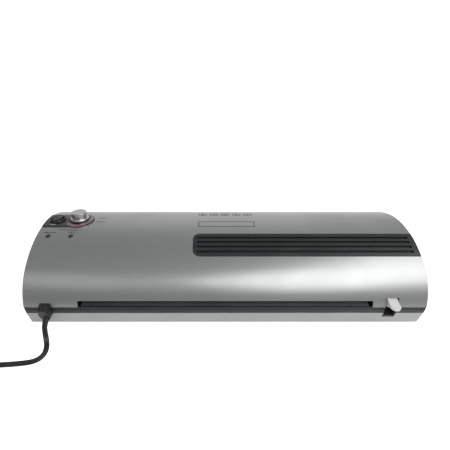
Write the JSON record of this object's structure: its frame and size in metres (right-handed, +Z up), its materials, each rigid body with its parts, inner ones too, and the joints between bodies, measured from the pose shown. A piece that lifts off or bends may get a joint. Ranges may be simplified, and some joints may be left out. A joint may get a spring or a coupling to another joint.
{
  "type": "pouch laminator",
  "caption": "Desktop pouch laminator with heated rollers, feed and exit slots, temperature knob, power rocker and release lever.",
  "frame": {"origin": "middle of the footprint on the table, under the feet, without the mains lead", "axes": "+X along the rollers, away from the controls; +Y toward the feed slot; +Z up"},
  "size_m": [0.5951, 0.2248, 0.0812],
  "materials": {
    "silver_shell": "satin silver-grey metallic paint on moulded plastic",
    "black_trim": "black moulded plastic with a fine grain",
    "panel_print": "dark printed overlay",
    "knob_metal": "satin spun aluminium look",
    "lever_plastic": "ivory moulded plastic",
    "white_nylon": "natural nylon",
    "lens": "smoked clear lens",
    "steel": "zinc plated steel",
    "silicone": "red-brown silicone rubber",
    "heater": "mill finish aluminium",
    "rubber": "black rubber",
    "cord_pvc": "black flexible PVC",
    "brass": "nickelled brass",
    "circuit_board": "green circuit board",
    "relay_case": "blue moulded case",
    "motor_case": "plated steel can"
  },
  "bodies": {
    "case": {"top_cover": "silver_shell", "bottom_case": "silver_shell", "mid_frame": "black_trim", "exit_guide": "black_trim", "feed_guide": "black_trim", "vent_insert": "black_trim", "switch_housing": "black_trim", "control_panel": "panel_print", "lower_bush_left": "white_nylon", "lower_bush_right": "white_nylon", "terminal_block": "white_nylon", "power_led": "lens", "ready_led": "lens", "side_plate_left": "steel", "side_plate_right": "steel", "frame_screw_1": "steel", "frame_screw_2": "steel", "frame_screw_3": "steel", "frame_screw_4": "steel", "case_screw_1": "steel", "case_screw_2": "steel", "case_screw_3": "steel", "case_screw_4": "steel", "tie_rod_rear": "steel", "tie_rod_front": "steel", "pressure_spring_left": "steel", "pressure_spring_right": "steel", "motor_bracket": "steel", "temperature_control": "steel", "lower_heat_shoe": "heater", "foot_1": "rubber", "foot_2": "rubber", "foot_3": "rubber", "foot_4": "rubber", "strain_relief": "cord_pvc", "power_cord": "cord_pvc", "cord_coil": "cord_pvc", "mains_plug": "cord_pvc", "plug_pin_1": "brass", "plug_pin_2": "brass", "control_board": "circuit_board", "relay": "relay_case", "motor": "motor_case"},
    "release": {"release_lever": "lever_plastic", "release_shaft": "steel", "release_cam_left": "white_nylon", "release_cam_right": "white_nylon"},
    "carriage": {"bearing_block_left": "white_nylon", "bearing_block_right": "white_nylon", "upper_heat_shoe": "heater", "thermostat": "brass"},
    "upper_rolls": {"upper_roller": "silicone", "upper_shaft": "steel", "upper_gear": "white_nylon"},
    "lower_rolls": {"lower_roller": "silicone", "lower_shaft": "steel", "lower_gear": "white_nylon"},
    "pinion": {"motor_pinion": "white_nylon"},
    "knob": {"temperature_knob": "knob_metal"},
    "rocker": {"power_rocker": "black_trim"}
  },
  "joints": [
    {"name": "temperature_turn", "type": "hinge", "parent": "case", "child": "knob", "pos_m": [-0.187, 0.0325, 0.06735], "axis": [0, 0.2901, 0.957], "range_deg": [-135, 135]},
    {"name": "power_rock", "type": "hinge", "parent": "case", "child": "rocker", "pos_m": [-0.2145, 0.0307, 0.07059], "axis": [0, 0.9633, -0.2685], "range_deg": [0, 16]},
    {"name": "release_swing", "type": "hinge", "parent": "case", "child": "release", "pos_m": [0, -0.0185, 0.0465], "axis": [1, 0, 0], "range_deg": [0, 16]},
    {"name": "carriage_lift", "type": "slide", "parent": "case", "child": "carriage", "axis": [0, 0, 1], "range_m": [0, 0.00106], "deforming": ["pressure_spring_left", "pressure_spring_right"]},
    {"name": "lower_roller_spin", "type": "hinge", "parent": "case", "child": "lower_rolls", "pos_m": [0, 0.0115, 0.02395], "axis": [1, 0, 0], "continuous": true},
    {"name": "upper_roller_spin", "type": "hinge", "parent": "carriage", "child": "upper_rolls", "pos_m": [0, 0.0115, 0.04825], "axis": [1, 0, 0], "continuous": true},
    {"name": "pinion_spin", "type": "hinge", "parent": "case", "child": "pinion", "pos_m": [0, 0.02944, 0.03232], "axis": [1, 0, 0], "continuous": true}
  ],
  "couplings": [
    {"joint": "release_swing", "follows": "carriage_lift", "rad_per_m": 264.01},
    {"joint": "upper_roller_spin", "follows": "lower_roller_spin", "ratio": -1},
    {"joint": "pinion_spin", "follows": "lower_roller_spin", "ratio": -1.6}
  ]
}
